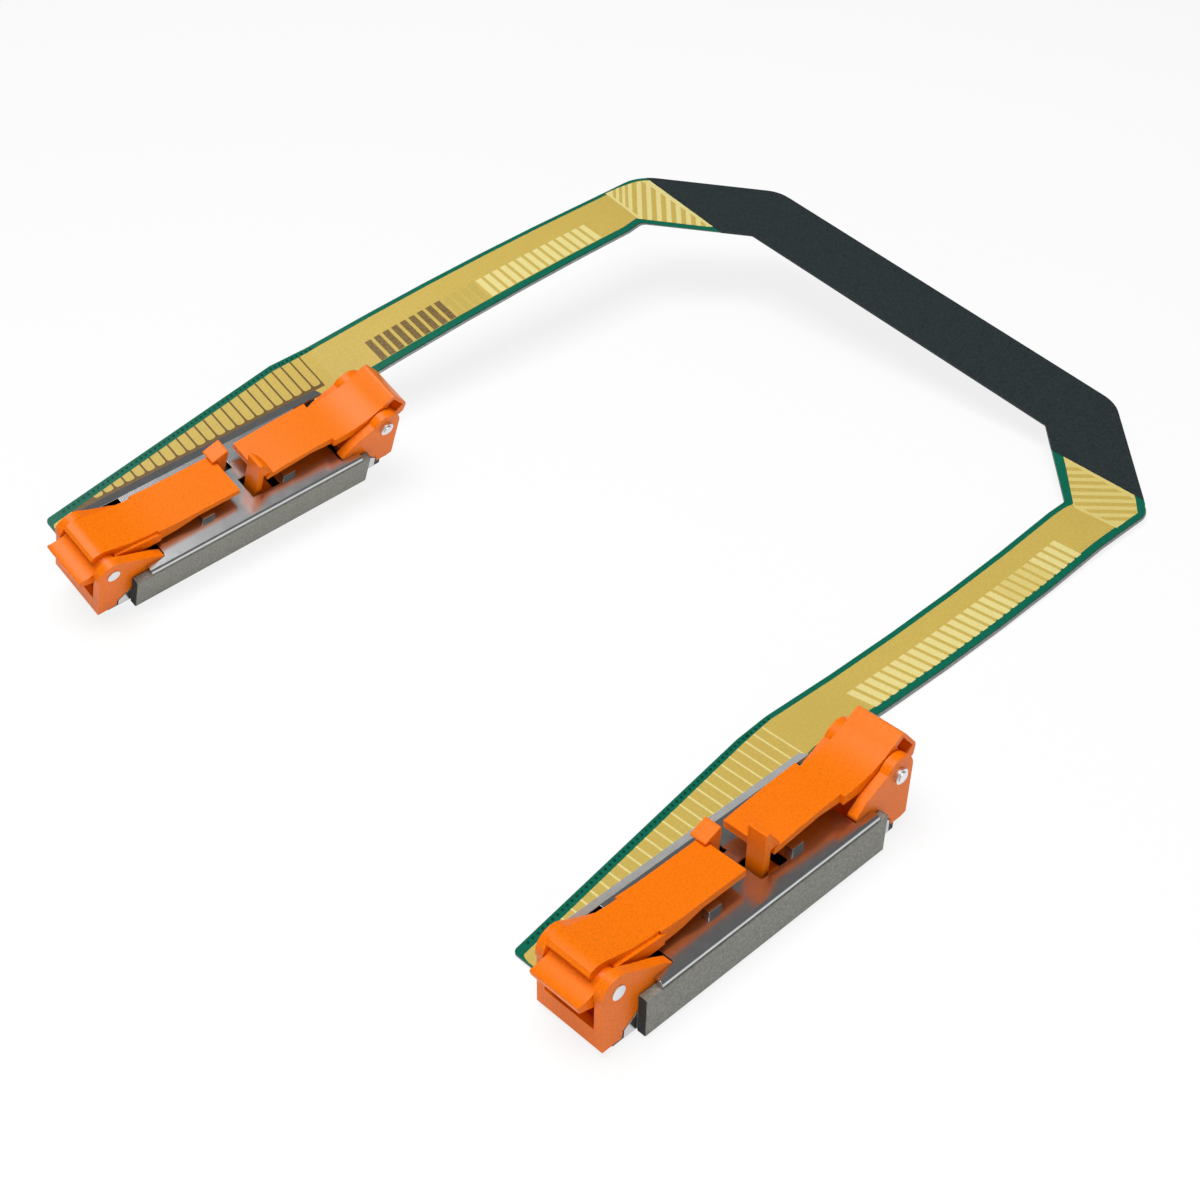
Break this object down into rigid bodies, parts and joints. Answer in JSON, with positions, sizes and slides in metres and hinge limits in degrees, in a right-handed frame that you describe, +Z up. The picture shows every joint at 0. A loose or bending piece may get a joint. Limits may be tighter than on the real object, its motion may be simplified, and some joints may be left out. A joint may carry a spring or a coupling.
{
  "type": "server interconnect cable",
  "caption": "U-shaped flat flexible interconnect with a latching connector under each arm, orange hinged levers, steel covers and a dark film over the back of the U.",
  "frame": {"origin": "middle of the right connector's mating face", "axes": "+X along the arms from the free ends to the back of the U, +Y from the right connector to the left one, +Z up from the right mating face"},
  "size_m": [0.2637, 0.2191, 0.0342],
  "materials": {
    "orange_plastic": "semi-gloss moulded",
    "black_plastic": "matt moulded",
    "steel": "bright rolled sheet",
    "pin_steel": "polished",
    "gasket_fabric": "woven conductive",
    "foam": "foam",
    "gold": "satin plated",
    "green_mask": "solder mask",
    "grey_layer": "matt laminate",
    "black_film": "fine-grained film"
  },
  "bodies": {
    "base": {"right_contact_housing": "black_plastic", "right_contact_pads": "gold", "right_steel_cover": "steel", "right_gasket": "gasket_fabric", "right_gasket_core": "foam", "right_near_yoke": "orange_plastic", "right_far_yoke": "orange_plastic", "right_near_pin": "pin_steel", "right_far_pin": "pin_steel", "right_gold_field": "gold", "right_corner_gold": "gold", "right_fingers": "gold", "left_contact_housing": "black_plastic", "left_contact_pads": "gold", "left_steel_cover": "steel", "left_gasket": "gasket_fabric", "left_gasket_core": "foam", "left_near_yoke": "orange_plastic", "left_far_yoke": "orange_plastic", "left_near_pin": "pin_steel", "left_far_pin": "pin_steel", "left_gold_field": "gold", "left_corner_gold": "gold", "left_fingers": "gold", "flex_upper": "green_mask", "flex_lower": "grey_layer", "shield_film": "black_film"},
    "right_near_lever_body": {"right_near_lever": "orange_plastic"},
    "right_far_lever_body": {"right_far_lever": "orange_plastic"},
    "right_near_catch_body": {"right_near_catch": "orange_plastic"},
    "right_far_catch_body": {"right_far_catch": "orange_plastic"},
    "left_near_lever_body": {"left_near_lever": "orange_plastic"},
    "left_far_lever_body": {"left_far_lever": "orange_plastic"},
    "left_near_catch_body": {"left_near_catch": "orange_plastic"},
    "left_far_catch_body": {"left_far_catch": "orange_plastic"}
  },
  "joints": [
    {"name": "right_near_lever_hinge", "type": "hinge", "parent": "base", "child": "right_near_lever_body", "pos_m": [-0.042, -0.0009, 0.0156], "axis": [0, -1, 0], "range_deg": [0, 75]},
    {"name": "right_far_lever_hinge", "type": "hinge", "parent": "base", "child": "right_far_lever_body", "pos_m": [0.0411, -0.0013, 0.0168], "axis": [0, 1, 0], "range_deg": [0, 75]},
    {"name": "right_near_catch_flex", "type": "hinge", "parent": "base", "child": "right_near_catch_body", "pos_m": [-0.0006, 0.00565, 0.006], "axis": [0, 1, 0], "range_deg": [0, 8], "stiffness_Nm_per_rad": 0.05},
    {"name": "right_far_catch_flex", "type": "hinge", "parent": "base", "child": "right_far_catch_body", "pos_m": [0.004, -0.0039, 0.006], "axis": [0, -1, 0], "range_deg": [0, 8], "stiffness_Nm_per_rad": 0.05},
    {"name": "left_near_lever_hinge", "type": "hinge", "parent": "base", "child": "left_near_lever_body", "pos_m": [-0.03834, 0.1709, 0.01902], "axis": [0.0105, -0.926, -0.3773], "range_deg": [0, 75]},
    {"name": "left_far_lever_hinge", "type": "hinge", "parent": "base", "child": "left_far_lever_body", "pos_m": [0.04457, 0.16918, 0.02446], "axis": [-0.0105, 0.926, 0.3773], "range_deg": [0, 75]},
    {"name": "left_near_catch_flex", "type": "hinge", "parent": "base", "child": "left_near_catch_body", "pos_m": [0.00344, 0.18014, 0.01485], "axis": [-0.0105, 0.926, 0.3773], "range_deg": [0, 8], "stiffness_Nm_per_rad": 0.05},
    {"name": "left_far_catch_flex", "type": "hinge", "parent": "base", "child": "left_far_catch_body", "pos_m": [0.00814, 0.17125, 0.01149], "axis": [0.0105, -0.926, -0.3773], "range_deg": [0, 8], "stiffness_Nm_per_rad": 0.05}
  ]
}
